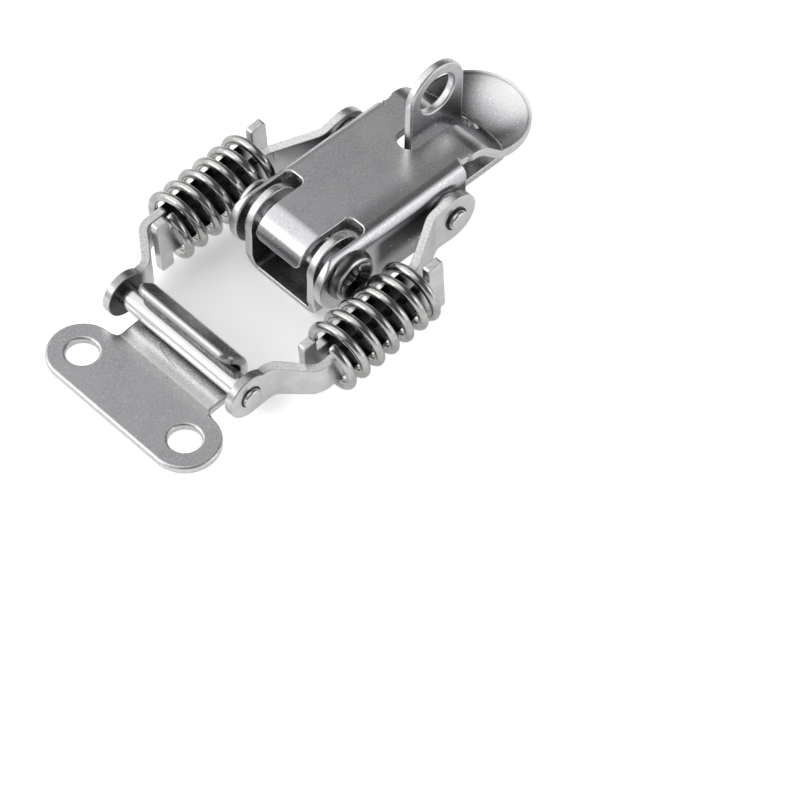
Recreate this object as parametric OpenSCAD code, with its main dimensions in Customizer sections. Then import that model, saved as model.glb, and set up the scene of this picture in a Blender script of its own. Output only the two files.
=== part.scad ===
// Over centre toggle latch: a folded base, a lever with a padlock eye
// through it, two spring loaded tie rods and a hook keeper.
// +X runs from the keeper to the thumb tab, +Z is up, Y is across.
// The origin is midway between the base's two mounting holes, on the
// mounting plane.

/* [Build] */
// which sub-part to make

/* [Sheet] */
// thickness of every folded or blanked piece
sheet = 1.5; // [1.0:0.1:2.0]

/* [Pivot] */
// height of the pivot over the mounting plane
pivot_z = 9.8; // [9:0.1:12]
// axle diameter
axle_d = 5.0; // [4:0.1:6]
// diameter of the axle's rolled heads
axle_head_d = 8.6; // [6.5:0.1:9]

/* [Lever] */
// height of the lever's flat top
lever_top_z = 14.5; // [13:0.1:17]
// width over the lever's side flanges
lever_w = 20.2; // [18:0.1:24]
// pivot to the flanges' rear edge
lever_l = 25.4; // [22:0.1:30]
// outer bend radius of the lever
lever_bend = 2.4; // [1.6:0.1:3.5]
// width of the front tongue
tongue_w = 9.6; // [7:0.1:11]
// radius of the front ears
ear_r = 5.9; // [5.5:0.1:7.5]
// radius of the thumb tab
tab_r = 9.2; // [7:0.1:11]
// pivot to the centre of the thumb tab
tab_x = 37.0; // [33:0.1:42]
// height of the dish's lowest point on its upper face
dish_z = 6.9; // [5:0.1:9]
// radius of the dish's upper face
dish_r = 14.4; // [12:0.1:20]

/* [Base] */
// width over the base's walls
base_w = 15.2; // [13:0.1:17]
// width of the rear tongue
base_tongue_w = 8.4; // [7:0.1:12]
// distance between the two mounting holes
base_hole_pitch = 30; // [25:0.5:36]
// mounting hole diameter
base_hole_d = 4.5; // [3:0.1:5]
// height of the walls behind the pivot
wall_z = 7.0; // [4:0.1:8]

/* [Padlock eye] */
// hole diameter
eye_hole_d = 7.2; // [5:0.1:8]
// outer radius of the eye
eye_r = 5.7; // [4.6:0.1:6]
// height of the hole's centre
eye_z = 21.6; // [19:0.1:24]
// pivot to the hole's centre, along X
eye_x = 28.0; // [26:0.1:29]

/* [Tie rods] */
// pivot to cross pin, along X
pin_x = 24.2; // [22:0.1:28]
// height of the cross pin
pin_z = 4.7; // [4.4:0.1:6]
// cross pin diameter
pin_d = 3.8; // [3:0.1:4.4]
// pivot to rear rivets, along X
rivet_x = 20.4; // [18:0.1:22]
// height of the rear rivets
rivet_z = 8.6; // [7.5:0.1:9.5]
// distance between the inner faces of the front eyes
fork_w = 25.8; // [24:0.1:28]
// distance between the spring axes
spring_w = 35.8; // [34:0.1:40]
// height of the T heads
t_head = 10.8; // [9.8:0.1:11.2]

/* [Springs] */
// wire diameter
wire_d = 1.6; // [0.8:0.1:1.8]
// outer diameter
spring_d = 11.3; // [10:0.1:11.5]
// turns
turns = 6.4; // [5:0.1:9]

/* [Keeper] */
// distance between the keeper's holes
keeper_pitch = 23; // [20:0.1:28]
// keeper hole diameter
keeper_hole_d = 5.2; // [4:0.1:6]
// radius of the rounded ends
lobe_r = 5.7; // [5:0.1:7]
// width of the neck and hook
neck_w = 20.4; // [16:0.1:22]
// pivot to the keeper's holes, along X
keeper_x = 35; // [33:0.1:38]

/* [Hidden] */
$fa = 4;
$fs = 0.25;
// running clearance on a side, and the gap left between moving faces
run = 0.05;
gap = 0.15;
// pivot position: the front hole is hole_x behind the pivot
hole_x = 9.3;
px = -(hole_x + base_hole_pitch / 2);
// direction and length of the line from cross pin to rear rivet
rod_a = atan2(rivet_z - pin_z, rivet_x + pin_x);
rod_l = norm([rivet_x + pin_x, rivet_z - pin_z]);
// eye radii of the arms
front_eye_r = 4.0;
rear_eye_r = 4.3;
// arm planes: |y| of the inner face of each strip
front_in = fork_w / 2;
rear_in = lever_w / 2 + 1.2;
strip_h = 5.6;
// outline of the ears: a circle just under the pivot
ear_z = pivot_z - 0.9;
inner_y = spring_w / 2 - 0.85 - sheet;
outer_y = spring_w / 2 + 0.85;
// places along the rod, from the cross pin
seat_f = 11.6;
seat_r = 31.7;
// lengths of the T heads, front and rear
t_front = 2.5;
t_rear = 3.05;
// how far the axle's heads stand out, and their rounding
head_h = 1.8;
head_round = 0.9;
rivet_d = 3.0;
washer_d = 6.4;
// slope of the thumb tab's ramp
ramp_a = 44;
// radius of the reliefs between the flanges and the tab
relief_r = 1.4;
// base bends, outer and inner radius
base_bend = 2.5;
base_bend_in = 1.0;
// keeper: middle bend radius of the hook, where the neck starts to rise,
// and the height of the sheet's middle behind the pin and at the free end
hook_r = 3.3;
neck_x = -keeper_x + lobe_r + 0.6;
hook_x = -pin_x + pin_d / 2 + 0.1 + sheet / 2;
hook_low = sheet / 2 + 0.55;
hook_high = pin_z + 2.2;
lip = [hook_x - 3.75, hook_high + 3.15];

// ---- helpers ----

// a 2D drawing in X and Z, pulled out from y0 to y1
module xz(y0, y1) {
    translate([0, y1, 0]) rotate([90, 0, 0]) linear_extrude(y1 - y0) children();
}

// a round bar along Y
module bar_y(x, z, y0, y1, d) {
    translate([x, y1, z]) rotate([90, 0, 0]) cylinder(h = y1 - y0, d = d);
}

// a ring sector from angle a0 to a1, less than 180 degrees apart
module sector(r0, r1, a0, a1) {
    m = (a0 + a1) / 2;
    k = 2 * r1 / cos((a1 - a0) / 4);
    intersection() {
        difference() {
            circle(r1);
            circle(r0);
        }
        polygon([[0, 0], k * [cos(a0), sin(a0)], k * [cos((a0 + m) / 2), sin((a0 + m) / 2)],
                 k * [cos(m), sin(m)], k * [cos((m + a1) / 2), sin((m + a1) / 2)],
                 k * [cos(a1), sin(a1)]]);
    }
}

// length that a bend of middle radius r takes from each leg at point i
function turn(p, i) = let (u = (p[i] - p[i - 1]) / norm(p[i] - p[i - 1]),
                           v = (p[i + 1] - p[i]) / norm(p[i + 1] - p[i]))
    atan2(u[0] * v[1] - u[1] * v[0], u[0] * v[0] + u[1] * v[1]);
function leg(p, i, r) = (i <= 0 || i >= len(p) - 1) ? 0 : r * tan(abs(turn(p, i)) / 2);

// a strip of thickness t bent along the points p, middle bend radius r
module strip2d(p, t, r) {
    for (i = [0 : len(p) - 2]) {
        d = p[i + 1] - p[i];
        u = d / norm(d);
        n = [-u[1], u[0]] * t / 2;
        // the flat parts reach a hair into the bends, so that they join
        a = p[i] + u * max(leg(p, i, r) - 0.01, 0);
        b = p[i + 1] - u * max(leg(p, i + 1, r) - 0.01, 0);
        polygon([a - n, b - n, b + n, a + n]);
    }
    for (i = [1 : 1 : len(p) - 2]) {
        u = (p[i] - p[i - 1]) / norm(p[i] - p[i - 1]);
        s = sign(turn(p, i));
        a = p[i] - u * leg(p, i, r);
        c = a + [-u[1], u[0]] * r * s;
        a0 = atan2(a[1] - c[1], a[0] - c[0]);
        translate(c)
            if (s > 0) sector(r - t / 2, r + t / 2, a0, a0 + turn(p, i));
            else sector(r - t / 2, r + t / 2, a0 + turn(p, i), a0);
    }
}

// a rectangle with its corners rounded
module round_rect(x0, y0, x1, y1, r) {
    translate([x0 + r, y0]) square([x1 - x0 - 2 * r, y1 - y0]);
    translate([x0, y0 + r]) square([x1 - x0, y1 - y0 - 2 * r]);
    for (x = [x0 + r, x1 - r], y = [y0 + r, y1 - r]) translate([x, y]) circle(r);
}

// a child kept as it is, and its mirror image across the middle plane
module both() {
    children();
    mirror([0, 1, 0]) children();
}

// ---- base ----

module base_section() {
    // a channel of the base's width, seen along X
    w = base_w / 2;
    difference() {
        union() {
            translate([-w, base_bend]) square([2 * w, 20]);
            translate([-w + base_bend, 0]) square([2 * (w - base_bend), 3]);
            for (s = [-1, 1]) translate([s * (w - base_bend), base_bend]) circle(base_bend);
        }
        i = base_bend_in;
        translate([-w + sheet, sheet + i]) square([2 * (w - sheet), 30]);
        translate([-w + sheet + i, sheet]) square([2 * (w - sheet - i), 3]);
        for (s = [-1, 1]) translate([s * (w - sheet - i), sheet + i]) circle(i);
    }
}

module base() {
    color("silver") translate([px, 0, 0]) difference() {
        union() {
            intersection() {
                rotate([90, 0, 90]) translate([0, 0, -10]) linear_extrude(40) base_section();
                // side view: round ears over a straight front, low walls behind
                xz(-10, 10) {
                    union() {
                        translate([0, pivot_z]) circle(5.0);
                        polygon([[-3.9, 0], [-4.9, 4], [-4.9, pivot_z], [4.9, pivot_z], [4.9, 0]]);
                        polygon([[-3.9, 0], [-4.9, 4], [-4.9, wall_z], [18, wall_z], [24, 2.6], [24, 0]]);
                    }
                }
            }
            // fillets between ear and wall
            both() xz(base_w / 2 - sheet, base_w / 2) {
                f = 3;
                dz = wall_z + f - pivot_z;
                dx = sqrt((5 + f) * (5 + f) - dz * dz);
                difference() {
                    translate([4, wall_z - 1]) square([dx - 4, 1 + f]);
                    translate([dx, wall_z + f]) circle(f);
                    translate([4, pivot_z]) square([dx, 5]);
                }
            }
            // rear tongue with its round end
            linear_extrude(sheet) difference() {
                union() {
                    translate([20, -base_tongue_w / 2]) square([hole_x + base_hole_pitch - 20, base_tongue_w]);
                    translate([hole_x + base_hole_pitch, 0]) circle(base_tongue_w / 2);
                    translate([23.9, -base_tongue_w / 2 - 0.8]) square([0.9, base_tongue_w + 1.6]);
                }
                for (s = [-1, 1]) translate([24.8, s * (base_tongue_w / 2 + 0.8)]) circle(0.8);
            }
        }
        // mounting holes
        for (x = [hole_x, hole_x + base_hole_pitch])
            translate([x, 0, -1]) cylinder(h = 6, d = base_hole_d);
        // pivot bore through both ears
        bar_y(0, pivot_z, -20, 20, axle_d);
        // slot that the padlock eye's tenon is staked into
        translate([eye_x - 3.4, -sheet / 2 - 0.02, -1]) cube([8, sheet + 0.04, 6]);
    }
}

module padlock_eye() {
    color("gainsboro") translate([px, 0, 0]) xz(-sheet / 2, sheet / 2) difference() {
        union() {
            translate([eye_x, eye_z]) circle(eye_r);
            translate([eye_x - eye_r, sheet]) square([2 * eye_r, eye_z - sheet]);
            // the foot widens to the rear below the lever's top
            polygon([[33, sheet], [eye_x + 7.8, sheet], [eye_x + 7.8, 6], [eye_x + eye_r, 12.5], [33, 12.5]]);
            translate([eye_x - 3.38, 0]) square([7.96, sheet + 1]);
        }
        translate([eye_x, eye_z]) circle(eye_hole_d / 2);
    }
}

// one end of the axle in half section, from the middle out
module axle_end(d, h, r) {
    y0 = lever_w / 2;
    square([axle_d / 2, y0 + h]);
    translate([0, y0 + 0.02]) square([d / 2 - r, h - 0.02]);
    translate([0, y0 + 0.02]) square([d / 2, h - r - 0.02]);
    translate([d / 2 - r, y0 + h - r]) circle(r);
}

module pivot_axle() {
    // semi-hollow rivet: a low head on the left, a rolled one on the right
    y0 = lever_w / 2;
    color("lightgray") translate([px, 0, pivot_z]) rotate([90, 0, 0]) rotate_extrude() difference() {
        union() {
            axle_end(axle_head_d, head_h, head_round);
            mirror([0, 1]) axle_end(axle_head_d - 1.4, head_h / 2, head_round / 2);
        }
        // the cup in the rolled head
        polygon([[0, y0 - 2.4], [1.7, y0 - 2.4], [1.7, y0], [2.1, y0 + 0.8], [2.8, y0 + head_h], [2.8, y0 + 4], [0, y0 + 4]]);
    }
}

// ---- lever ----

module lever_section(grow) {
    // outer (grow = 0) or inner (grow = sheet) outline of the channel
    w = lever_w / 2 - grow;
    z = lever_top_z - grow;
    r = lever_bend - grow;
    translate([-w, -5]) square([2 * w, z - r + 5]);
    translate([-w + r, 0]) square([2 * (w - r), z]);
    for (s = [-1, 1]) translate([s * (w - r), z - r]) circle(r);
}

module lever_side() {
    // side view of the flanges
    translate([0, ear_z]) circle(ear_r);
    difference() {
        translate([0, ear_z - ear_r]) square([lever_l, 20]);
        translate([lever_l - 3, ear_z - ear_r + 3]) difference() {
            translate([0, -3.1]) square([3.1, 3.1]);
            circle(3);
        }
    }
}

module tab_plan() {
    // plan of the sheet behind the flanges
    w = lever_w / 2 - relief_r - 0.1;
    translate([lever_l - 0.05, -w]) square([relief_r + 0.55, 2 * w]);
    translate([lever_l + relief_r + 0.3, -tab_r + 0.2]) square([tab_x - lever_l - relief_r, 2 * tab_r - 0.4]);
    translate([tab_x, 0]) circle(tab_r);
}

// side view of everything lower than k under the ramp's upper face
module ramp_fill(k) {
    r = 5 - k;
    c = [30 - 5 * tan(ramp_a / 2), lever_top_z - 5];
    n = [sin(ramp_a), cos(ramp_a)];
    u = [cos(ramp_a), -sin(ramp_a)];
    // the flat parts reach a hair into the bend, so that they join
    polygon([[lever_l - 6 - k, -5 - k], [lever_l - 6 - k, lever_top_z - k],
             [c[0] + 0.01, lever_top_z - k], c, c + r * n - 0.01 * u, c + r * n + 14 * u,
             [c[0] + 8, -5 - k]]);
    translate(c) circle(r);
}

// half profile of everything lower than k under the dish's upper face
module dish_fill(k) {
    difference() {
        translate([0, -6 - 2 * k]) square([tab_r + 2 + k, 20]);
        translate([0, dish_z + dish_r]) circle(dish_r + k);
    }
}

module tail() {
    // the sheet dips from the flat top into a dished thumb tab
    difference() {
        intersection() {
            linear_extrude(30) tab_plan();
            union() {
                xz(-15, 15) ramp_fill(0);
                translate([tab_x, 0, 0]) rotate_extrude() dish_fill(0);
            }
        }
        xz(-16, 16) ramp_fill(sheet);
        translate([tab_x, 0, 0]) rotate_extrude() dish_fill(sheet);
    }
}

module lever() {
    w = lever_w / 2;
    slot_x = 5.3;
    color("silver") translate([px, 0, 0]) difference() {
        union() {
            // channel behind the front slots
            intersection() {
                rotate([90, 0, 90]) translate([0, 0, slot_x - 1]) linear_extrude(lever_l - slot_x + 1) difference() {
                    lever_section(0);
                    lever_section(sheet);
                }
                xz(-15, 15) lever_side();
            }
            // ears round the pivot
            both() intersection() {
                xz(w - sheet, w) lever_side();
                rotate([90, 0, 90]) translate([0, 0, -10]) linear_extrude(slot_x + 10) lever_section(0);
            }
            // front tongue, bent down over the axle
            intersection() {
                xz(-tongue_w / 2, tongue_w / 2) strip2d([[slot_x + 0.5, lever_top_z - sheet / 2],
                    [-4.65, lever_top_z - sheet / 2], [-4.65, 4]], sheet, 4.05);
                rotate([90, 0, 90]) translate([0, 0, -8]) linear_extrude(20)
                    round_rect(-tongue_w / 2, 10.0, tongue_w / 2, 20, 1.3);
            }
            tail();
        }
        // front slots, open to the front, with round corners
        both() translate([0, 0, lever_top_z - 4]) linear_extrude(6) {
            translate([-8, tongue_w / 2]) square([8 + slot_x - 1.2, w - sheet - tongue_w / 2]);
            translate([0, tongue_w / 2 + 1.2]) square([slot_x, w - sheet - tongue_w / 2 - 2.4]);
            translate([slot_x - 1.2, tongue_w / 2 + 1.2]) circle(1.2);
            translate([slot_x - 1.2, w - sheet - 1.2]) circle(1.2);
        }
        // slot for the padlock eye
        translate([0, 0, 3]) linear_extrude(20) {
            translate([23, 0]) circle(2.05);
            translate([35.3, 0]) circle(2.05);
            translate([23, -2.05]) square([12.3, 4.1]);
        }
        // round reliefs behind the flanges leave the narrowest part
        for (s = [-1, 1])
            translate([lever_l + relief_r + 0.05, s * w, pivot_z - 2]) cylinder(h = 30, r = relief_r);
        // bores
        bar_y(0, pivot_z, -20, 20, axle_d + 2 * run);
        bar_y(rivet_x, rivet_z, -20, 20, rivet_d);
    }
}

module rear_rivet() {
    // shank through flange, washer and arm, domed head outside
    w = lever_w / 2;
    y1 = rear_in + sheet + gap;
    translate([px + rivet_x, 0, rivet_z]) rotate([90, 0, 0]) mirror([0, 0, 1]) rotate_extrude() {
        translate([0, w - sheet]) square([rivet_d / 2, y1 - w + sheet]);
        translate([0, w - sheet - 0.3]) square([rivet_d / 2 + 0.5, 0.3]);
        intersection() {
            translate([0, y1]) square([2.1, 0.9]);
            translate([0, y1 + 0.9 - 4.2]) circle(4.2);
        }
    }
}
module rear_rivet_l() { color("gainsboro") rear_rivet(); }
module rear_rivet_r() { color("gainsboro") mirror([0, 1, 0]) rear_rivet(); }

module rear_washer() {
    w = lever_w / 2;
    translate([px + rivet_x, 0, rivet_z]) rotate([90, 0, 0]) mirror([0, 0, 1])
        translate([0, 0, w]) difference() {
            cylinder(h = rear_in - gap - w, d = washer_d);
            translate([0, 0, -1]) cylinder(h = 5, d = rivet_d);
        }
}
module rear_washer_l() { color("darkgray") rear_washer(); }
module rear_washer_r() { color("darkgray") mirror([0, 1, 0]) rear_washer(); }

// ---- tie rods: local x runs from the cross pin to the rear rivet ----

module rod_frame() {
    translate([px - pin_x, 0, pin_z]) rotate([0, -rod_a, 0]) children();
}

// a rectangle in side view with softly rounded outer corners
module t_side(x0, x1) {
    round_rect(x0, -t_head / 2, x1, t_head / 2, 0.5);
}

module front_arm() {
    yi = front_in + sheet / 2;
    yo = outer_y + sheet / 2;
    rod_frame() difference() {
        intersection() {
            translate([0, 0, -10]) linear_extrude(20)
                strip2d([[-6, yi], [4.8, yi], [9.2, yo], [40, yo]], sheet, 2.9);
            xz(0, 30) {
                circle(front_eye_r);
                translate([0, -strip_h / 2]) square([seat_r + 1.5, strip_h]);
                polygon([[0, -front_eye_r], [4, -front_eye_r], [9, -strip_h / 2], [9, strip_h / 2], [0, strip_h / 2]]);
                t_side(seat_r + gap, seat_r + gap + t_rear);
            }
        }
        bar_y(0, 0, 0, 30, 2.8);
    }
}
module front_arm_l() { color("lightgray") front_arm(); }
module front_arm_r() { color("lightgray") mirror([0, 1, 0]) front_arm(); }

module rear_arm() {
    yi = rear_in + sheet / 2;
    yo = inner_y + sheet / 2;
    rod_frame() difference() {
        intersection() {
            translate([0, 0, -10]) linear_extrude(20)
                strip2d([[rod_l + 6, yi], [rod_l - 4.4, yi], [rod_l - 12.2, yo], [0, yo]], sheet, 3.7);
            xz(0, 30) {
                translate([rod_l, 0]) circle(rear_eye_r);
                translate([seat_f - 1.5, -strip_h / 2]) square([rod_l - seat_f + 1.5, strip_h]);
                polygon([[rod_l - 12, -strip_h / 2], [rod_l - 1, -rear_eye_r], [rod_l, -rear_eye_r],
                         [rod_l, rear_eye_r], [rod_l - 1, rear_eye_r], [rod_l - 12, strip_h / 2]]);
                t_side(seat_f - gap - t_front, seat_f - gap);
            }
        }
        bar_y(rod_l, 0, 0, 30, rivet_d + 2 * run);
    }
}
module rear_arm_l() { color("lightgray") rear_arm(); }
module rear_arm_r() { color("lightgray") mirror([0, 1, 0]) rear_arm(); }

module cross_pin() {
    rod_frame() rotate([90, 0, 0]) translate([0, 0, 0]) rotate_extrude() {
        translate([0, -front_in]) square([pin_d / 2, fork_w]);
        translate([0, -front_in - sheet - 0.1]) square([1.4, fork_w + 2 * sheet + 0.2]);
        for (s = [0, 1]) mirror([0, s]) intersection() {
            translate([0, front_in + sheet]) square([1.9, 0.8]);
            translate([0, front_in + sheet + 0.8 - 3.4]) circle(3.4);
        }
    }
}

// ---- springs ----

function coil_z(t) =
    // height along the spring for a turn count t: closed end turns, open between
    let (c0 = 0.35, c1 = 0.5, l = seat_r - seat_f - wire_d - 0.1, close = wire_d * 1.04,
         p = (l - (c0 + c1) * close) / (turns - c0 - c1))
    t < c0 ? t * close : t > turns - c1 ? l - (turns - t) * close : c0 * close + (t - c0) * p;

// side: 1 left, -1 right; both are wound the same way
module spring(side) {
    sides = 8;
    steps = 20;
    n = turns * steps;
    r = (spring_d - wire_d) / 2;
    pts = [for (i = [0 : n], j = [0 : sides - 1])
        let (t = i / steps, a = 360 * t + 105, b = 360 * j / sides)
        [seat_f + 0.05 + wire_d / 2 + coil_z(t) + wire_d / 2 * sin(b),
         (r + wire_d / 2 * cos(b)) * cos(a), (r + wire_d / 2 * cos(b)) * sin(a)]];
    caps = [[for (j = [0 : sides - 1]) j], [for (j = [sides - 1 : -1 : 0]) n * sides + j]];
    walls = [for (i = [0 : n - 1], j = [0 : sides - 1])
        [i * sides + j, (i + 1) * sides + j, (i + 1) * sides + (j + 1) % sides, i * sides + (j + 1) % sides]];
    rod_frame() translate([0, side * spring_w / 2, 0]) polyhedron(pts, concat(caps, walls));
}
module spring_l() { color("dimgray") spring(1); }
module spring_r() { color("dimgray") spring(-1); }

// ---- keeper ----

module keeper_plan() {
    x1 = -keeper_x + lobe_r;
    w = neck_w / 2;
    difference() {
        union() {
            translate([-keeper_x - lobe_r, -keeper_pitch / 2]) square([2 * lobe_r, keeper_pitch]);
            for (s = [-1, 1]) translate([-keeper_x, s * keeper_pitch / 2]) circle(lobe_r);
            translate([-keeper_x, -w]) square([20, 2 * w]);
            translate([x1 - 0.4, -w - 0.8]) square([1.4, 2 * w + 1.6]);
        }
        for (s = [-1, 1]) {
            translate([x1 + 1.0, s * (w + 0.8)]) circle(0.8);
            translate([-keeper_x, s * keeper_pitch / 2]) circle(keeper_hole_d / 2);
        }
    }
}

module keeper_side() {
    strip2d([[-keeper_x - lobe_r - 1, sheet / 2], [neck_x, sheet / 2], [hook_x, hook_low],
             [hook_x, hook_high], lip], sheet, hook_r);
}

module keeper() {
    r = 1.8;
    u = (lip - [hook_x, hook_high]) / norm(lip - [hook_x, hook_high]);
    color("silver") translate([px, 0, 0]) intersection() {
        translate([0, 0, -1]) linear_extrude(20) keeper_plan();
        xz(-20, 20) keeper_side();
        // the hook's free end has rounded corners
        union() {
            xz(-20, 20) polygon([[-keeper_x - 2 * lobe_r, -1], [0, -1], [0, hook_high + 0.5],
                                 [-keeper_x - 2 * lobe_r, hook_high + 0.5]]);
            translate([lip[0], 0, lip[1]]) rotate([0, -atan2(u[1], u[0]), 0])
                translate([0, 0, -4]) linear_extrude(8) round_rect(-8, -neck_w / 2, 0, neck_w / 2, r);
        }
    }
}

base();
padlock_eye();
pivot_axle();
lever();
rear_rivet_l();
rear_rivet_r();
rear_washer_l();
rear_washer_r();
rear_arm_l();
rear_arm_r();
spring_l();
spring_r();
front_arm_l();
front_arm_r();
cross_pin();
keeper();
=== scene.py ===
# %% [markdown]
# # Over centre toggle latch
# This latch pulls two panels together and holds them. A lever turns on an axle
# in a channel base. Two sprung tie rods carry its pull to a keeper with a hook,
# and once the rods have passed below the axle, their springs hold the lever
# shut. Every piece is bare stainless steel.
#
# The imported model already gives each piece its size and place. This file
# dresses it: small rounds on the sheared edges, turned and rolled heads, wound
# springs, a finish for each piece, and a studio to stand in.

# %% [markdown]

# %% Load the imported latch
import math
import bmesh
import bpy
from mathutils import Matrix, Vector
from mathutils.bvhtree import BVHTree
from mathutils.geometry import tessellate_polygon


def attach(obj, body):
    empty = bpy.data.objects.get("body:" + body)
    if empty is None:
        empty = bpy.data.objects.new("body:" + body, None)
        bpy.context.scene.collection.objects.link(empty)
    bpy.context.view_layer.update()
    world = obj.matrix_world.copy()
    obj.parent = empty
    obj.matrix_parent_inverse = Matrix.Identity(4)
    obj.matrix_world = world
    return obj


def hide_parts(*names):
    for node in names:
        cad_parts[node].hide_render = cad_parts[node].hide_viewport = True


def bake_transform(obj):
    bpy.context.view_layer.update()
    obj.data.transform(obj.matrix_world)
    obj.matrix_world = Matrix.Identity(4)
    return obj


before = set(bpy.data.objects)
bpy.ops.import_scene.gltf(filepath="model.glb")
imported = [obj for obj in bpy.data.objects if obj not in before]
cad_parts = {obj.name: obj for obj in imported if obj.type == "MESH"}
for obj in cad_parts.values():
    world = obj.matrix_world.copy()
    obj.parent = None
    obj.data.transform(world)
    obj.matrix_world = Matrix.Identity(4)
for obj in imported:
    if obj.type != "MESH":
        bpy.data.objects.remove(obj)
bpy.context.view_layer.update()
MM = 0.001
print("nodes:", len(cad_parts))

# %% [markdown]
# Three points carry the whole latch, here in millimetres: the axle that the
# lever turns on, the cross pin that the hook grips, and the rear rivets. The
# rod line runs from the pin up to the rivets, and both springs lie along it. A
# second direction, square to that line, is kept for winding the springs.

# %% Points and directions
AXLE = Vector((-24.3, 0.0, 9.8))
PIN = Vector((-48.5, 0.0, 4.7))
RIVET = Vector((-3.9, 0.0, 8.6))
ROD = (RIVET - PIN).normalized()
ROD_UP = Vector((-ROD.z, 0.0, ROD.x))
SHEET = 1.5
print("rod line rises", round(math.degrees(math.asin(ROD.z)), 2), "degrees")

# %% [markdown]
# A finish is a tree of shader nodes, and its masks are sums and products. Wired
# by hand, even `1 - mask * 0.4` takes two nodes and three links, which are hard
# to read. This class wraps one socket, so that a sum in Python adds its Math
# nodes by itself. Colours go through a Mix node, because a Math node turns
# them grey. Any other node comes from `node`, which makes its settings first
# and then fills its sockets. `above` is a soft step from 0 to 1.

# %% A socket that can be used in sums
class Signal:
    def __init__(self, tree, socket=None):
        self.tree = tree
        self.socket = socket

    def node(self, kind, settings=None, inputs=None, out=0):
        made = self.tree.nodes.new(kind)
        for name, value in (settings or {}).items():
            setattr(made, name, value)
        for name, value in (inputs or {}).items():
            target = made.inputs[name]
            if isinstance(value, Signal):
                self.tree.links.new(value.socket, target)
            elif target.type == "RGBA" and len(value) == 3:
                target.default_value = (*value, 1.0)
            else:
                target.default_value = value
        return Signal(self.tree, made.outputs[out] if made.outputs else None)

    def math(self, operation, a, b=0.0):
        return self.node("ShaderNodeMath", {"operation": operation}, {0: a, 1: b})

    def vector(self, operation, inputs, out=0):
        return self.node("ShaderNodeVectorMath", {"operation": operation}, inputs, out)

    def mix(self, low, high):
        options = {"data_type": "RGBA"}
        return self.node("ShaderNodeMix", options, {0: self, 6: low, 7: high}, out=2)

    def above(self, low, high):
        options = {"interpolation_type": "SMOOTHSTEP"}
        inputs = {"Value": self, "From Min": low, "From Max": high}
        return self.node("ShaderNodeMapRange", options, inputs)

    def __add__(self, other):
        return self.math("ADD", self, other)

    def __sub__(self, other):
        return self.math("SUBTRACT", self, other)

    def __mul__(self, other):
        return self.math("MULTIPLY", self, other)

    def __rsub__(self, other):
        return self.math("SUBTRACT", other, self)

    def __abs__(self):
        return self.math("ABSOLUTE", self)

    __radd__ = __add__
    __rmul__ = __mul__


print("a socket can now be added, multiplied and mixed")

# %% [markdown]
# All the finishes are bare steel, so one function makes them: a metal whose
# colour and roughness come from the caller, and whose fine surface is a bump.
# A plain colour is simply set on the shader. Only what changes over the
# surface is a function of the place, and it gets wired.

# %% One function for every steel finish
def steel(name, colour, roughness, height=None, depth=0.02):
    made = bpy.data.materials.new(name)
    made.use_nodes = True
    tree = made.node_tree
    tree.nodes.clear()
    start = Signal(tree)
    place = start.node("ShaderNodeTexCoord", out="Object")
    inputs = {"Metallic": 1.0}
    inputs["Base Color"] = colour(place) if callable(colour) else colour
    inputs["Roughness"] = roughness(place) if callable(roughness) else roughness
    if height:
        bump = {"Strength": 1.0, "Distance": depth * MM, "Height": height(place)}
        inputs["Normal"] = start.node("ShaderNodeBump", None, bump)
    shader = start.node("ShaderNodeBsdfPrincipled", None, inputs)
    start.node("ShaderNodeOutputMaterial", None, {"Surface": shader})
    print("made the finish", name)
    return made


print("finishes are made on metal, in the object's own space")

# %% [markdown]
# The tumbled sheet was rolled about with stones in a barrel. It comes out an
# even grey with soft clouds in it, a fine grain, and tiny bright specks where
# the grain was struck flat. A picture of real sheet would need unwrapping and
# goes soft close up. Noise in the object's own space needs neither, and rides
# along when the piece turns. Three sizes of it do the work: clouds of 6 mm, a
# grain of a third of a millimetre, and the rare peaks of a 0.55 mm noise.

# %% Clouds, grain and specks
def noise(place, size, detail=3.0, rough=0.55, stretch=None):
    at = place
    if stretch:
        at = place.vector("MULTIPLY", {0: place, 1: stretch})
    inputs = {"Vector": at, "Scale": 1.0 / (size * MM), "Detail": detail, "Roughness": rough}
    return place.node("ShaderNodeTexNoise", None, inputs)


def clouds(place):
    return noise(place, 6.0, 4.0).above(0.35, 0.65)


def grain(place):
    return noise(place, 0.32, 4.0, 0.6)


def specks(place):
    return noise(place, 0.55, 1.5, 0.5).above(0.70, 0.76)


def tumbled_roughness(place):
    return 0.23 + clouds(place) * 0.03 + grain(place) * 0.05 - specks(place) * 0.08


print("three sizes of noise for the tumbled sheet")

# %% [markdown]
# Painted shade, painted highlights and a few marks go in known places: under a
# bend, beside an axle, behind an arm. They could be painted by hand on each
# mesh. Here they are worked out from where a point lies, because the latch's
# sizes are known and the borders can be moved by changing one number. `reach`
# says how many millimetres a point lies along a direction, `between` is a soft
# band, and `strongest` joins several masks without adding them up.

# %% Where a point lies on the latch
def reach(place, direction):
    return place.vector("DOT_PRODUCT", {0: place, 1: Vector(direction) / MM}, out="Value")


def axes(place):
    return reach(place, (1, 0, 0)), reach(place, (0, 1, 0)), reach(place, (0, 0, 1))


def between(value, low, high, soft=0.8):
    return value.above(low - soft, low) * (1 - value.above(high, high + soft))


def strongest(*parts):
    total = parts[0]
    for part in parts[1:]:
        total = total.math("MAXIMUM", total, part)
    return total


print("masks can be placed in millimetres")

# %% [markdown]
# The lever is a folded channel, and shade is painted into its colour. Its side
# flanges are painted dark under the bend, where the arms stand close, and its
# inside, which gets little light, is painted darker too. A band of painted shade
# runs along the top just before the right bend.

# %% Painted shade on the lever's channel
LEVER_SIDE = 10.1
INNER_SIDE = LEVER_SIDE - SHEET


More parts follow.
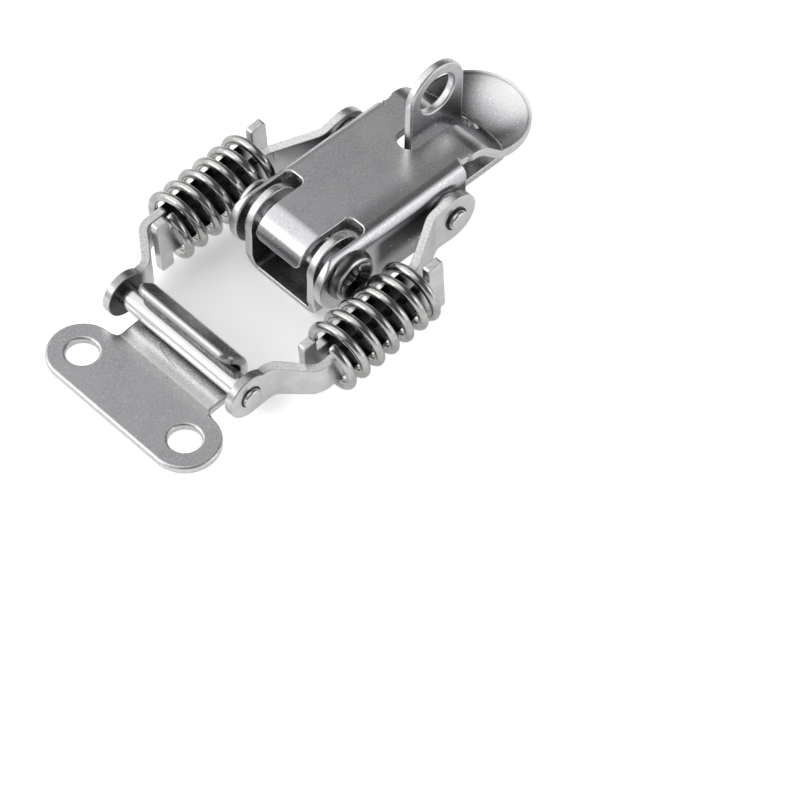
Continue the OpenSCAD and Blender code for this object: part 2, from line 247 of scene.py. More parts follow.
def flange_shade(x, y, z):
    outside = abs(y).above(LEVER_SIDE - 0.2, LEVER_SIDE - 0.05)
    behind_axle = x.above(-19.5, -17.0)
    under_bend = (1 - z.above(10.8, 12.2)) * (0.40 + z.above(5.0, 8.0) * 0.60)
    return behind_axle * outside * under_bend * 0.9


def inside_shade(x, y, z):
    within = 1 - abs(y).above(INNER_SIDE - 0.05, INNER_SIDE + 0.15)
    return within * (1 - z.above(12.2, 12.8)) * (1 - x.above(2.0, 4.0)) * 0.5


def bend_shade(y, z):
    near_bend = y.above(-8.8, -7.8) * (1 - y.above(-7.2, -4.0))
    return z.above(12.5, 13.2) * near_bend * 0.40


print("lever is", 2 * LEVER_SIDE, "mm wide,", round(2 * INNER_SIDE, 1), "inside")

# %% [markdown]
# Behind the channel the sheet runs down a ramp and ends in a dished thumb tab.
# The ramp and the near half of the dish get painted shade, and a thin line of
# painted shade follows the dish's rim, where the round edge turns away from the
# light. The rim is a circle, so its mask is the distance from the tab's centre.

# %% Painted shade on the ramp and the thumb tab
TAB_CENTRE = Vector((12.7, 0.0, 0.0))
RIM_LINE = 8.6


def ramp_shade(x, z):
    return between(x, 5.4, 10.6, 0.9) * (1 - z.above(13.4, 14.2)) * 0.25


def dish_shade(x, y):
    near_half = x.above(9.0, 11.5) * (1 - x.above(13.0, 19.0))
    return near_half * (0.68 + y.above(1.0, 6.0) * 0.14)


def rim_shade(place, x):
    out = place.vector("SUBTRACT", {0: place, 1: TAB_CENTRE * MM})
    flat = place.vector("MULTIPLY", {0: out, 1: (1 / MM, 1 / MM, 0)})
    spread = place.vector("LENGTH", {0: flat}, out="Value")
    return x.above(8.5, 9.5) * between(spread, RIM_LINE, RIM_LINE + 0.08, 0.18) * 0.6


print("the rim's dark line lies", RIM_LINE, "mm from the tab's centre")

# %% [markdown]
# The lever's painted shade is joined here, and so are its painted highlights: a
# strong one on the far side of the tab, and a weak one on the rear of the top.

# %% The lever's painted shade and painted highlights
def lever_shade(place):
    x, y, z = axes(place)
    channel = strongest(flange_shade(x, y, z), inside_shade(x, y, z), bend_shade(y, z))
    tab = strongest(ramp_shade(x, z), dish_shade(x, y), rim_shade(place, x))
    return strongest(channel, tab)


# painted highlights: the tab's far side, and a little of the rear of the top
def lever_painted_highlights(place):
    x, _, z = axes(place)
    tab = x.above(17.0, 20.0) * 0.35
    rear = between(x, -5.0, 2.0, 5.0) * z.above(13.8, 14.2) * 0.20
    return strongest(tab, rear)


print("the lever has 6 dark places and 2 bright ones")

# %% [markdown]
# The base is a channel too. The lever covers it, so its inside and the top of
# its rear tongue get painted shade. The padlock eye comes up through the lever's
# slot. Its painted shade is darkest just above the slot and fades out at its
# round top.

# %% Painted shade on the base and the padlock eye
BASE_SIDE = 7.6


def base_shade(place):
    x, y, z = axes(place)
    within = 1 - abs(y).above(BASE_SIDE - 0.1, BASE_SIDE + 0.3)
    channel = between(x, -32.0, -6.0, 3.0) * within * 0.44
    tongue = between(x, -1.0, 11.0, 2.5) * 0.55
    return (1 - z.above(7.0, 9.0)) * strongest(channel, tongue)


def eye_shade(place):
    z = reach(place, (0, 0, 1))
    return z.above(2.0, 14.0) * (1 - z.above(16.5, 22.0) * 0.95) * 0.48


print("base is", 2 * BASE_SIDE, "mm wide and darkest under the lever")

# %% [markdown]
# The keeper is a flat plate whose neck rises into a hook. Painted shade darkens
# the neck under the pin and the top of the hook, and the flat plate is a little
# darker. A painted highlight makes a pale band where the neck starts to rise.
# The hook's painted shade is broken up by one more noise, for its uneven wear.
# A single curved hairline crosses the neck: it is the band within a tenth of a
# millimetre of a parabola.

# %% Painted shade, a painted highlight and a hairline on the keeper
HAIRLINE_X = -51.2
HAIRLINE_Y = -0.8


def hairline(x, y):
    along = y - HAIRLINE_Y
    off = abs(x - HAIRLINE_X - along * along * 0.048)
    return (1 - off.above(0.04, 0.14)) * between(along, 0.0, 5.8, 0.3) * 0.75


# painted shade on the neck and hook, a darker plate, the hook's wear and the hairline
def keeper_shade_and_marks(place):
    x, y, z = axes(place)
    neck = between(x, -49.8, -46.0, 1.6) * (1 - z.above(4.6, 5.4)) * 0.46
    wear = noise(place, 0.9, 3.0).above(0.36, 0.64)
    hook = z.above(6.0, 7.2) * (0.46 + wear * 0.18)
    plate = (1 - x.above(-51.0, -50.0)) * 0.10
    return strongest(neck, hook, plate, hairline(x, y))


# painted highlight: a pale band where the neck starts to rise
def keeper_painted_highlight(place):
    x, _, z = axes(place)
    return between(x, -53.0, -52.2, 2.4) * (1 - z.above(4.0, 5.0)) * 0.42


print("the keeper has 4 dark places and 1 bright one")

# %% [markdown]
# The four sheet pieces share one recipe and differ only in their masks. So the
# recipe is a function that takes the masks and gives back the colour: clouds,
# then grain, then painted shade (with the keeper's wear and hairline), then
# painted highlights, and the specks on top. Each piece gets a finish of its
# own. The base and the eye lie within the lever's reach, and with one finish
# for all, the lever's masks would fall on them too.

# %% Tumbled finishes, one for each sheet piece
CLOUD_GREYS = ((0.51, 0.51, 0.53), (0.57, 0.57, 0.59))
GRAIN_GREY = (0.645, 0.645, 0.665)
# grey for painted shade, also used for the keeper's wear and hairline
SHADE_AND_MARK_GREY = (0.02, 0.02, 0.022)
# grey for painted highlights
PAINTED_HIGHLIGHT_GREY = (0.86, 0.86, 0.83)
SPECK_GREY = (0.86, 0.86, 0.87)


def tumbled(shade, highlight_mask=None):
    def colour(place):
        low = clouds(place).mix(*CLOUD_GREYS)
        fine = grain(place).above(0.36, 0.64).mix(low, GRAIN_GREY)
        # shade and highlights are painted into the colour here
        with_painted_light = shade(place).mix(fine, SHADE_AND_MARK_GREY)
        if highlight_mask:
            with_painted_light = highlight_mask(place).mix(with_painted_light, PAINTED_HIGHLIGHT_GREY)
        return specks(place).mix(with_painted_light, SPECK_GREY)
    return colour


TUMBLED = {}
for node, shade, highlight_mask in (
    ("lever", lever_shade, lever_painted_highlights),
    ("base", base_shade, None),
    ("padlock_eye", eye_shade, None),
    ("keeper", keeper_shade_and_marks, keeper_painted_highlight),
):
    colour = tumbled(shade, highlight_mask)
    TUMBLED[node] = steel("tumbled_" + node, colour, tumbled_roughness, grain, 0.006)

# %% [markdown]
# The arms run through the coils, and in there they get next to no light. A
# plain studio leaves them too bright, because it shines in from all sides. So
# one mask, between the two spring seats along the rod line, darkens whatever
# finish the arms have.

# %% The dark stretch inside the coils
SEATS = (11.6, 31.7)


def in_coil(place):
    along = reach(place, ROD)
    first = ROD.dot(PIN) + SEATS[0]
    last = ROD.dot(PIN) + SEATS[1]
    ends = along.above(first + 1.5, first + 2.2) * (1 - along.above(last - 2.2, last - 0.6))
    return ends * abs(reach(place, (0, 1, 0))).above(13.0, 13.5)


print("springs are seated", round(SEATS[1] - SEATS[0], 1), "mm apart")

# %% [markdown]
# A blanked edge has two bands, a bright one that the punch burnished and a torn
# one below it. At this size they read as short uneven streaks, brighter than
# the sheet. Modelled as ridges they would cost thousands of faces. So a noise
# that is drawn out along the sheet breaks up both colour and gloss instead.

# %% Sheared edge
def streaks(place):
    return noise(place, 0.22, 3.0, 0.6, (0.5, 0.5, 2.0))


def edge_colour(place):
    x, _, z = axes(place)
    plain = streaks(place).above(0.3, 0.7).mix((0.56, 0.56, 0.57), (0.78, 0.78, 0.79))
    # painted shade on the hook's end edges, and on edges inside the coils
    hook_end = (1 - x.above(-46.0, -44.0)) * z.above(6.0, 7.0) * 0.6
    with_painted_light = hook_end.mix(plain, (0.16, 0.16, 0.165))
    return in_coil(place).mix(with_painted_light, (0.03, 0.03, 0.03))


def edge_roughness(place):
    return 0.22 + streaks(place) * 0.22


EDGE = steel("sheared_edge", edge_colour, edge_roughness, streaks, 0.012)

# %% [markdown]
# The arms and washers are punched from rolled strip. It is brighter and
# smoother than the tumbled sheet, with broad faint patches. The left arm's
# end behind the hook is in its shade.

# %% Rolled strip
def strip_colour(place):
    x, y, _ = axes(place)
    plain = noise(place, 2.5, 4.0).above(0.3, 0.7).mix((0.64, 0.64, 0.65), (0.74, 0.74, 0.75))
    behind_hook = (1 - x.above(-46.0, -44.5)) * y.above(11.0, 12.0) * 0.9
    return strongest(in_coil(place), behind_hook).mix(plain, (0.015, 0.015, 0.015))


def strip_roughness(place):
    return 0.24 + grain(place) * 0.16


STRIP = steel("blanked_strip", strip_colour, strip_roughness, grain, 0.005)

# %% [markdown]
# Pins and rivets are polished, so they need little more than a low roughness
# that wanders. Spring wire is drawn through a die and keeps a darker skin, but
# it is the glossiest surface here. That gives each turn its thin highlight.

# %% Polished pins and drawn wire
def bright_roughness(place):
    return 0.13 + noise(place, 0.8, 2.0) * 0.12


def wire_colour(place):
    return noise(place, 1.6, 3.0).above(0.35, 0.7).mix((0.45, 0.44, 0.43), (0.60, 0.59, 0.58))


def wire_roughness(place):
    return 0.09 + noise(place, 0.6, 2.0) * 0.07


BRIGHT = steel("polished_steel", (0.66, 0.66, 0.65), bright_roughness, grain, 0.002)
DRAWN = steel("drawn_wire", wire_colour, wire_roughness, grain, 0.002)

# %% [markdown]
# The hollow axle is rolled over at its right end into a rim. The flank behind
# the rim is painted dark as shade, and the bowl inside is painted in near black
# and light spokes, as painted shade and painted reflections. The spokes are a
# noise read on a circle: the way out from the axle, made one long, is the same
# along each spoke. The thin gap round a rivet's head is painted nearly black as
# shade.

# %% Painted shade and reflections on the rim's flank, the bowl and rivet gap
FLANK = (-11.55, -10.2)


def rolled_colour(place):
    # painted shade: the flank behind the rim is dark
    flank = between(reach(place, (0, 1, 0)), *FLANK, 0.15)
    return flank.mix((0.70, 0.70, 0.70), (0.13, 0.13, 0.13))


def bowl_colour(place):
    out = place.vector("SUBTRACT", {0: place, 1: AXLE * MM})
    flat = place.vector("MULTIPLY", {0: out, 1: (1, 0, 1)})
    spoke = place.vector("NORMALIZE", {0: flat})
    inputs = {"Vector": spoke, "Scale": 3.6, "Detail": 2.0, "Roughness": 0.6}
    streak = place.node("ShaderNodeTexNoise", None, inputs)
    # painted shade in the bowl, with light spokes of painted reflection
    return streak.above(0.36, 0.62).mix((0.03, 0.03, 0.03), (0.90, 0.90, 0.90))


ROLLED = steel("rolled_axle", rolled_colour, 0.30, grain, 0.003)
BOWL = steel("axle_bowl", bowl_colour, bright_roughness)
# the gap round a rivet's head is painted nearly black as shade
GAP = steel("rivet_gap", (0.03, 0.03, 0.03), 0.5)

# %% [markdown]
# Every piece below ends in the same way. It becomes an object, rides on its
# body so that it moves with the joint, and takes the place of the imported node.

# %% Put a piece on the latch
def new_piece(name, mesh):
    piece = bpy.data.objects.new(name, mesh)
    bpy.context.scene.collection.objects.link(piece)
    return piece


def seat(piece, node, body, slot):
    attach(piece, body)
    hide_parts(node)
    print(piece.name, "on", body, "with", len(piece.data.polygons), "faces")


# %% [markdown]
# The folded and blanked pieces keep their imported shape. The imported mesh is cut
# into triangles, though, and a round needs whole faces beside it, so on a
# copy the flat faces are joined again. Then each face is sorted: a ray goes
# through the metal behind it, and where it comes out after one sheet's
# thickness, this is a face of the sheet. Where it goes on, this is a cut edge.
# Choosing them by hand would work once, but not after a change of shape.

# %% Copy a sheet piece and tell its faces from its edges
FLAT = math.radians(0.6)
WELD = 1e-6
THICKEST = (SHEET + 0.12) * MM


def flat_copy(node):
    form = bmesh.new()
    form.from_mesh(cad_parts[node].data)
    bmesh.ops.remove_doubles(form, verts=form.verts, dist=WELD)
    bmesh.ops.dissolve_limit(form, angle_limit=FLAT, verts=form.verts, edges=form.edges)
    return form


def middle_of(item):
    # the centre of a face's largest triangle always lies on the metal
    points = [v.co for v in item.verts]
    best = (-1.0, points[0])
    for a, b, c in tessellate_polygon([points]):
        area = (points[b] - points[a]).cross(points[c] - points[a]).length
        best = max(best, (area, (points[a] + points[b] + points[c]) / 3), key=lambda x: x[0])
    return best[1]


def mark_cut_edges(form, tree):
    for item in form.faces:
        just_inside = middle_of(item) - item.normal * 1e-5
        depth = tree.ray_cast(just_inside, -item.normal)[3]
        item.material_index = 1 if depth is None or depth > THICKEST else 0


print("sheet of", SHEET, "mm is sorted into faces and cut edges")

# %% [markdown]
# Real sheet has no knife edges. A Bevel modifier could round them, but it
# holds every round down to its tightest corner, and one tiny edge in the mesh
# then leaves all of them sharp. So the bevel is made here without that clamp.
# At a few tight corners it throws a point wide, and each such point is put
# back on the sheet. The rounds take the second material, as they are part of
# the cut edge.

# %% Round the sharp edges
SHARP = math.radians(32)


def round_edges(form, tree, width):
    sharp = [e for e in form.edges if len(e.link_faces) == 2 and e.calc_face_angle() > SHARP]
    bmesh.ops.bevel(form, geom=sharp, offset=width * MM, offset_type="OFFSET", segments=2,
                    profile=0.5, affect="EDGES", clamp_overlap=False, material=1)
    put_back = 0
    for vert in form.verts:
        near, _, _, away = tree.find_nearest(vert.co)
        if away > width * 0.5 * MM:
            vert.co = near
            put_back += 1
    bmesh.ops.dissolve_degenerate(form, dist=WELD, edges=form.edges)
    return len(sharp), put_back


print("edges are rounded where the sheet turns more than", round(math.degrees(SHARP)), "degrees")

# %% [markdown]
# One function now does a whole piece: copy, sort, round, smooth, seat. Smooth
# shading alone would make a flat face beside a small round look domed, since
# its corners share their normals with the round. Weighted normals let the
# broad face win, so it stays flat and the light runs only along its rim.

# %% Dress one sheet piece
CREASE = math.radians(50)


def dress_sheet(node, body, finish, slot, width):
    form = flat_copy(node)
    tree = BVHTree.FromBMesh(form)
    mark_cut_edges(form, tree)
    rounded, put_back = round_edges(form, tree, width)
    print(node, "has", rounded, "rounded edges,", put_back, "points put back")
    for item in form.faces:
        item.smooth = True
    mesh = bpy.data.meshes.new(node + "_skin")
    form.to_mesh(mesh)
    form.free()
    mesh.set_sharp_from_angle(angle=CREASE)
    mesh.materials.append(finish)
    mesh.materials.append(EDGE)
    piece = new_piece(node + "_sheet", mesh)
    even = piece.modifiers.new("even_normals", "WEIGHTED_NORMAL")
    even.keep_sharp = True
    seat(piece, node, body, slot)


print("sheet pieces can be dressed")

# %% [markdown]
# The keeper was tumbled longest and has the softest rim. The eye comes next,
# then the two channels. The strip pieces are the crispest.

# %% Dress the sheet and strip pieces
ROUNDS = {"keeper": 0.42, "padlock_eye": 0.34, "lever": 0.25, "base": 0.25}
STRIP_ROUND = 0.15

for node, body, slot in (
    ("base", "base", "sheet"),
    ("padlock_eye", "base", "sheet"),
    ("lever", "lever", "sheet"),
    ("rear_washer_l", "lever", "sheet"),
    ("rear_washer_r", "lever", "sheet"),
    ("rear_arm_l", "links", "strip"),
    ("rear_arm_r", "links", "strip"),
    ("front_arm_l", "yoke", "strip"),
    ("front_arm_r", "yoke", "strip"),
    ("keeper", "yoke", "sheet"),
):
    dress_sheet(node, body, TUMBLED.get(node, STRIP), slot, ROUNDS.get(node, STRIP_ROUND))

# %% [markdown]
# Pins, rivets and the hollow axle are turned or rolled, so each is a profile
# swept round its axis. A profile is a list of distance along Y and radius, and
# a corner that stays crisp is given by two close points. A Screw modifier could
# sweep it, but a short function keeps the profile in the open as numbers, and
# its ends are easily closed.

# %% Sweep a profile round an axis along Y
TURN_STEPS = 64
NO_RADIUS = 0.0001


def swept_mesh(name, centre, profile):
    verts = []
    for along, radius in profile:
        for step in range(TURN_STEPS):
            a = 2 * math.pi * step / TURN_STEPS
            spot = (centre.x + radius * math.cos(a), along, centre.z + radius * math.sin(a))
            verts.append(Vector(spot) * MM)
    faces = []
    for row in range(len(profile) - 1):
        for step in range(TURN_STEPS):
            a = row * TURN_STEPS + step
            b = row * TURN_STEPS + (step + 1) % TURN_STEPS
            faces.append((a, b, b + TURN_STEPS, a + TURN_STEPS))
    last = (len(profile) - 1) * TURN_STEPS
    faces.append(tuple(range(TURN_STEPS - 1, -1, -1)))
    faces.append(tuple(range(last, last + TURN_STEPS)))
    mesh = bpy.data.meshes.new(name)
    mesh.from_pydata(verts, [], faces)
    return mesh


print("profiles are swept in", TURN_STEPS, "steps")

# %% [markdown]
# A turned piece has two finishes: its own, and a second one for a place with
# painted shade, such as the gap round a rivet's head. The caller says which
# faces take the second one, from how far along and how far out they lie.

# %% Turn a piece with two finishes
TURNED_CREASE = math.radians(40)


def turn(name, centre, profile, finish, second, takes_second):
    mesh = swept_mesh(name, centre, profile)
    form = bmesh.new()
    form.from_mesh(mesh)
    bmesh.ops.remove_doubles(form, verts=form.verts, dist=1e-7)
    bmesh.ops.recalc_face_normals(form, faces=form.faces)
    for item in form.faces:
        item.smooth = True
        middle = item.calc_center_median() / MM
        radius = math.hypot(middle.x - centre.x, middle.z - centre.z)
        if takes_second(middle.y, radius):
            item.material_index = 1
    form.to_mesh(mesh)
    form.free()
    mesh.set_sharp_from_angle(angle=TURNED_CREASE)
    mesh.materials.append(finish)
    mesh.materials.append(second)
    return new_piece(name, mesh)


print("turned pieces are crisp above", round(math.degrees(TURNED_CREASE)), "degrees")

# %% [markdown]
# The axle is a tube-ended rivet. On the left it has a plain closed head, and on
# the right its wall is rolled outward into a rim with a shallow bowl inside
# and a hole down the middle. The profile runs from the left head to the floor
# of that hole.

# %% Hollow axle
left_head = [(11.0, NO_RADIUS), (11.0, 3.1), (10.9, 3.42), (10.65, 3.58), (10.35, 3.6),
             (10.13, 3.5), (10.12, 2.5)]
rolled_rim = [(9.0, 2.5), (10.12, 2.5), (10.13, 3.95), (10.2, 4.2), (10.35, 4.3),
              (10.7, 4.28), (11.0, 4.2), (11.3, 4.06), (11.55, 3.9), (11.75, 3.72),
              (11.87, 3.58), (11.9, 3.48)]
bowl = [(11.88, 3.36), (11.8, 3.26), (11.52, 3.02), (11.22, 2.66), (10.98, 2.2),
        (10.82, 1.74), (10.7, 1.66), (7.75, 1.66), (7.7, 1.6), (7.7, NO_RADIUS)]


def in_bowl(y, radius):
    return radius < 3.3 and -11.87 < y < -7.0


axle_profile = left_head + [(-y, radius) for y, radius in rolled_rim + bowl]
axle = turn("hollow_axle", AXLE, axle_profile, ROLLED, BOWL, in_bowl)
seat(axle, "pivot_axle", "base", "pin")

# %% [markdown]
# The cross pin is stepped down to pass through the front arms and is peened
# over outside them. The peened head has a flat top and a soft shoulder. A thin
# ring where it meets the arm is painted black as shade. Both ends are alike, so
# half a profile is enough.

# %% Cross pin
half_pin = [(12.4, 1.9), (12.88, 1.9), (12.9, 1.4), (14.38, 1.4), (14.4, 1.88),
            (14.44, 1.92), (14.46, 1.66), (14.95, 1.64), (15.1, 1.52), (15.18, 1.32),
            (15.2, 1.1), (15.2, NO_RADIUS)]
pin_profile = [(-y, radius) for y, radius in reversed(half_pin)] + half_pin


def round_pin_head(y, radius):
    return 14.42 < abs(y) < 14.5 and radius > 1.6


pin = turn("hook_pin", PIN, pin_profile, BRIGHT, GAP, round_pin_head)
seat(pin, "cross_pin", "yoke", "pin")

# %% [markdown]
# The two rear rivets are one profile, turned for the left side and mirrored
# for the right. Their heads are peened like the pin's, with the same ring of
# painted shade.

# %% Rear rivets
rivet_profile = [(8.3, NO_RADIUS), (8.3, 1.9), (8.35, 2.0), (8.58, 2.0), (8.6, 1.5),
                 (12.94, 1.5), (12.95, 2.06), (12.98, 2.1), (13.0, 1.76), (13.5, 1.74),
                 (13.7, 1.66), (13.82, 1.48), (13.86, 1.2), (13.86, NO_RADIUS)]


def round_rivet_head(y, radius):
    return 12.96 < abs(y) < 13.02 and radius > 1.7


for side, node in ((1, "rear_rivet_l"), (-1, "rear_rivet_r")):
    sided = [(side * y, radius) for y, radius in rivet_profile]
    rivet = turn(node + "_turned", RIVET, sided, BRIGHT, GAP, round_rivet_head)
    seat(rivet, node, "lever", "pin")

# %% [markdown]
# Each spring is round wire bent into a helix between the T heads. The end
# turns are closed up, so that they bear flat, and the turns between them share
# the rest of the length. `wire_lift` gives the height along the rod line
# after so many turns, and `wire_middle` the point on the wire's centre line.
# A curve with a bevel could carry the wire too, but its ends would stay flat
# discs, and points worked out one by one can be drawn in there.

# %% The line that a spring's wire follows
WIRE = 1.6
COIL = 4.85
SPRING_Y = 17.9
TURNS = 6.4
CLOSED_FRONT = 0.35
CLOSED_REAR = 0.5
FIRST_ANGLE = 105
COIL_LENGTH = SEATS[1] - SEATS[0] - WIRE - 0.1
SHUT_PITCH = WIRE * 1.04
OPEN_TURNS = TURNS - CLOSED_FRONT - CLOSED_REAR
PITCH = (COIL_LENGTH - (CLOSED_FRONT + CLOSED_REAR) * SHUT_PITCH) / OPEN_TURNS


def wire_lift(turns):
    if turns < CLOSED_FRONT:
        return turns * SHUT_PITCH
    if turns > TURNS - CLOSED_REAR:
        return COIL_LENGTH - (TURNS - turns) * SHUT_PITCH
    return CLOSED_FRONT * SHUT_PITCH + (turns - CLOSED_FRONT) * PITCH


def wire_middle(axis, turns):
    a = math.radians(360 * turns + FIRST_ANGLE)
    out = Vector((0, 1, 0)) * math.cos(a) + ROD_UP * math.sin(a)
    lift = SEATS[0] + 0.05 + WIRE / 2 + wire_lift(turns)
    return axis + ROD * lift + out * COIL, out


print("open turns have a pitch of", round(PITCH, 2), "mm")

# %% [markdown]
# A ring of points is set square to the wire at each step, and the rings are
# joined into a tube. The first and last rings are a little smaller, which
# rounds the cut ends of the wire.

# %% Rings round the wire
RINGS_PER_TURN = 60
WIRE_SIDES = 20
END_STEP = 0.004


def wire_rings():
    inner = range(1, round(TURNS * RINGS_PER_TURN))
    rings = [(0.0, 0.82), (END_STEP, 0.96)]
    rings += [(step / RINGS_PER_TURN, 1.0) for step in inner]
    return rings + [(TURNS - END_STEP, 0.96), (TURNS, 0.82)]


def ring_points(axis, turns, grow):
    here, out = wire_middle(axis, turns)
    after = wire_middle(axis, min(turns + 0.002, TURNS))[0]
    before = wire_middle(axis, max(turns - 0.002, 0))[0]
    ahead = (after - before).normalized()
    up = ahead.cross(out).normalized()
    flat = up.cross(ahead).normalized()
    points = []
    for side in range(WIRE_SIDES):
        b = 2 * math.pi * side / WIRE_SIDES
        ray = flat * math.cos(b) + up * math.sin(b)
        points.append((here + ray * (WIRE / 2 * grow)) * MM)
    return points


print("a spring's tube has", len(wire_rings()), "rings of", WIRE_SIDES, "points")

# %% [markdown]
# The tube's faces join each ring to the next, and a cap closes each end. The
# normals are then turned outward, and all but the caps are smooth.

# %% Wind one spring
def tube_faces(rows):
    faces = []
    for row in range(rows - 1):
        for side in range(WIRE_SIDES):
            a = row * WIRE_SIDES + side
            b = row * WIRE_SIDES + (side + 1) % WIRE_SIDES
            faces.append((a, a + WIRE_SIDES, b + WIRE_SIDES, b))
    last = (rows - 1) * WIRE_SIDES
    faces.append(tuple(range(WIRE_SIDES)))
    faces.append(tuple(range(last + WIRE_SIDES - 1, last - 1, -1)))
    return faces


def wind(name, axis):
    rings = wire_rings()
    verts = []
    for turns, grow in rings:
        verts += ring_points(axis, turns, grow)
    mesh = bpy.data.meshes.new(name)
    mesh.from_pydata(verts, [], tube_faces(len(rings)))
    form = bmesh.new()
    form.from_mesh(mesh)
    bmesh.ops.recalc_face_normals(form, faces=form.faces)
    for item in form.faces:
        item.smooth = len(item.verts) == 4
    form.to_mesh(mesh)
    form.free()
    mesh.materials.append(DRAWN)
    return new_piece(name, mesh)


print("a spring's tube has", len(tube_faces(len(wire_rings()))), "faces")

# %% [markdown]
# A spring belongs to two bodies at once. Its front end turn bears on the rear
# arm's T head and its rear one on the front arm's. So it can't ride on either.

# %% Wind both springs
for side, node in ((1, "spring_l"), (-1, "spring_r")):
    axis = PIN + Vector((0, side * SPRING_Y, 0))
    piece = wind(node + "_coil", axis)
    back = (axis + ROD * (SEATS[1] - 1.5)) * MM
    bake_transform(piece)
    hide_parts(node)
    print(piece.name, "with", len(piece.data.polygons), "faces")

# %% [markdown]
# The latch stands on a pale floor. It has to look white and yet keep the
# latch's soft shadow. So to the camera and to polished metal it is a matt
# white that also glows a little, and the shadow darkens only the matt part.
# To all other light it is plain pale paper, which sends no extra light up on
# the latch. Between the arms the floor glows less, because the latch itself
# keeps the light off it there.

# %% Floor's finish
GLOW_IN_METAL = (0.36, 0.36, 0.36)
GLOW_TO_CAMERA = (0.80, 0.80, 0.80)
GLOW_BETWEEN_ARMS = (0.38, 0.38, 0.39)


def floor_glow(start, to_camera):
    x, y, _ = axes(start.node("ShaderNodeTexCoord", out="Object"))
    between_arms = between(x, -44.0, -26.0, 6.0) * (1 - abs(y).above(12.0, 20.0))
    tone = to_camera.mix(GLOW_IN_METAL, between_arms.mix(GLOW_TO_CAMERA, GLOW_BETWEEN_ARMS))
    return start.node("ShaderNodeEmission", None, {"Color": tone, "Strength": 1.0})


def floor_finish():
    made = bpy.data.materials.new("pale_floor")
    made.use_nodes = True
    made.node_tree.nodes.clear()
    start = Signal(made.node_tree)
    to_camera = start.node("ShaderNodeLightPath", out="Is Camera Ray")
    in_metal = start.node("ShaderNodeLightPath", out="Is Glossy Ray")
    through_glass = start.node("ShaderNodeLightPath", out="Is Transmission Ray")
    shows = strongest(to_camera, in_metal, through_glass)
    matt = start.node("ShaderNodeBsdfDiffuse", None, {"Color": (0.86, 0.86, 0.86)})
    lit = start.node("ShaderNodeAddShader", None, {0: matt, 1: floor_glow(start, to_camera)})
    paper = start.node("ShaderNodeBsdfDiffuse", None, {"Color": (0.75, 0.75, 0.75)})
    both = start.node("ShaderNodeMixShader", None, {0: shows, 1: paper, 2: lit})
    start.node("ShaderNodeOutputMaterial", None, {"Surface": both})
    return made


print("the floor glows", GLOW_TO_CAMERA[0], "to the camera and", GLOW_IN_METAL[0], "in the metal")

# %% [markdown]
# The floor itself is one flat square. It lies a hair below the latch, so that
# the two never fight over the same plane, and it is wide enough that its far
# border shows in no bend.

# %% Lay the floor
FLOOR_HALF = 4.0
FLOOR_Z = -0.0002

corners = [(-1, -1), (1, -1), (1, 1), (-1, 1)]
floor_mesh = bpy.data.meshes.new("floor")
floor_mesh.from_pydata([(x * FLOOR_HALF, y * FLOOR_HALF, FLOOR_Z) for x, y in corners], [],
                       [(0, 1, 2, 3)])
floor_mesh.materials.append(floor_finish())
floor = new_piece("floor", floor_mesh)
print("floor is", 2 * FLOOR_HALF, "m wide")

# %% [markdown]
# Bare metal shows what stands round it, so the sky matters more than the
# lamps. This one is dark overhead, which gives the flat tops their grey, and
# bright low down, which gives the bends their white. Two broad soft lobes
# stand for a lit panel behind the latch and one in front of it. The front one
# lights the arms' sides. A picture of a studio would do the same, but this
# sky needs no file, and each part of it can be tried by itself.

# %% Sky
world = bpy.data.worlds.new("studio")
bpy.context.scene.world = world
world.use_nodes = True
world.node_tree.nodes.clear()
sky = Signal(world.node_tree)
look = sky.node("ShaderNodeTexCoord", out="Generated")


def lobe(towards, low, high):
    inputs = {0: look, 1: Vector(towards).normalized()}
    return sky.vector("DOT_PRODUCT", inputs, out="Value").above(low, high)


height = sky.node("ShaderNodeSeparateXYZ", None, {"Vector": look}, out="Z")
low_sky = 1 - height.above(0.05, 0.42)
back_panel = lobe((-0.35, 0.55, 0.76), 0.55, 0.90)
front_panel = lobe((0.54, -0.76, 0.36), 0.84, 0.95)
level = 0.12 + low_sky * 0.6 + back_panel * 1.15 + front_panel * 0.7
air = sky.node("ShaderNodeBackground", None, {"Color": level, "Strength": 1.0})
sky.node("ShaderNodeOutputWorld", None, {"Surface": air})
print("sky has", len(world.node_tree.nodes), "nodes")

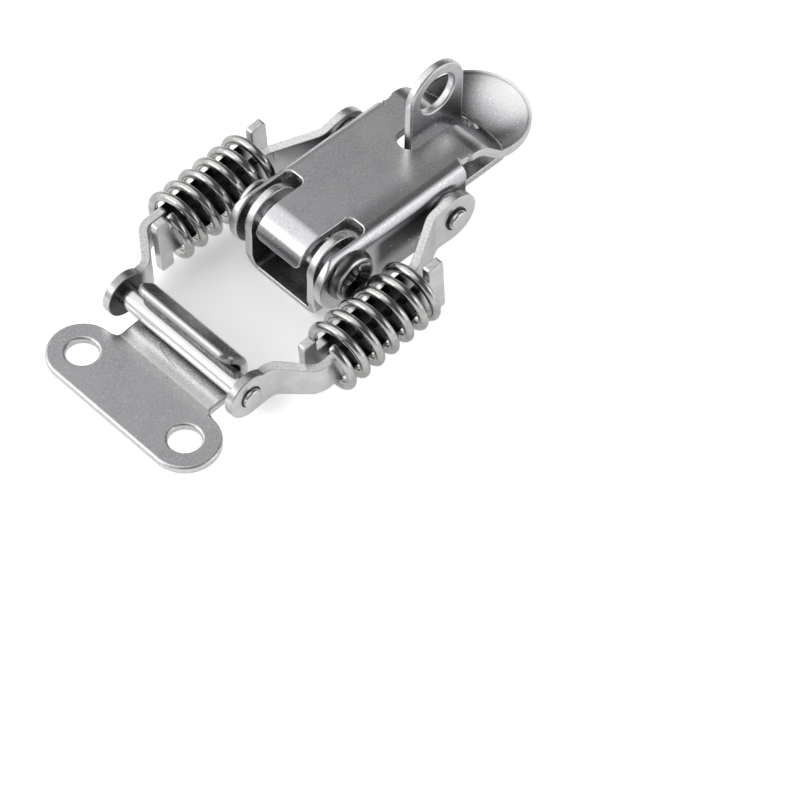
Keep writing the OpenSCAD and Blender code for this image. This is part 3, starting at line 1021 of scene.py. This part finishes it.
# %% [markdown]
# Two weak soft boxes add what a sky can't: one direction that the shadows and
# highlights agree on. The stronger one stands behind at the left, the weaker
# one in front at the right. Both are large for a latch this small, so that no
# highlight has a hard border.

# %% Lamps
MIDDLE = Vector((-0.02, 0, 0))


def soft_box(name, place, width, height, power):
    data = bpy.data.lights.new(name, "AREA")
    data.shape = "RECTANGLE"
    data.size = width
    data.size_y = height
    data.energy = power
    lamp = bpy.data.objects.new(name, data)
    lamp.location = place
    aim = MIDDLE - Vector(place)
    lamp.rotation_euler = aim.to_track_quat("-Z", "Y").to_euler()
    bpy.context.scene.collection.objects.link(lamp)
    print(name, "gives", power, "W from", round(aim.length, 2), "m")


soft_box("left_back", (-0.50, 0.32, 0.28), 0.36, 0.22, 0.8)
soft_box("right_front", (0.25, -0.46, 0.28), 0.40, 0.20, 0.22)

# %% [markdown]
# The camera looks down at 50 degrees over the keeper's right corner, from
# 0.62 m away through a long lens, so that near and far ends differ little in
# size. The latch sits left of and above the picture's middle. The lens is
# shifted for that, because turning the camera would change its angles.

# %% Camera
PICTURE = 800
FOCAL = 4028
CENTRE = (292, 290)
AZIMUTH = math.radians(-43.5)
ELEVATION = math.radians(50)
TARGET = Vector((-27.04, -0.68, 0))
DISTANCE = 620

back = Vector((math.sin(AZIMUTH) * math.cos(ELEVATION),
               -math.cos(AZIMUTH) * math.cos(ELEVATION),
               math.sin(ELEVATION)))
lens = bpy.data.cameras.new("camera")
lens.sensor_width = 36.0
lens.lens = lens.sensor_width * FOCAL / PICTURE
lens.shift_x = (PICTURE / 2 - CENTRE[0]) / PICTURE
lens.shift_y = (CENTRE[1] - PICTURE / 2) / PICTURE
lens.clip_start = 0.01
camera = bpy.data.objects.new("camera", lens)
camera.location = (TARGET + back * DISTANCE) * MM
camera.rotation_euler = back.to_track_quat("Z", "Y").to_euler()
bpy.context.scene.collection.objects.link(camera)
bpy.context.scene.camera = camera
bpy.context.scene.view_settings.view_transform = "Standard"
print("lens of", round(lens.lens, 1), "mm at", DISTANCE, "mm")

# %% [markdown]

# %% Finish
print("the latch is dressed")
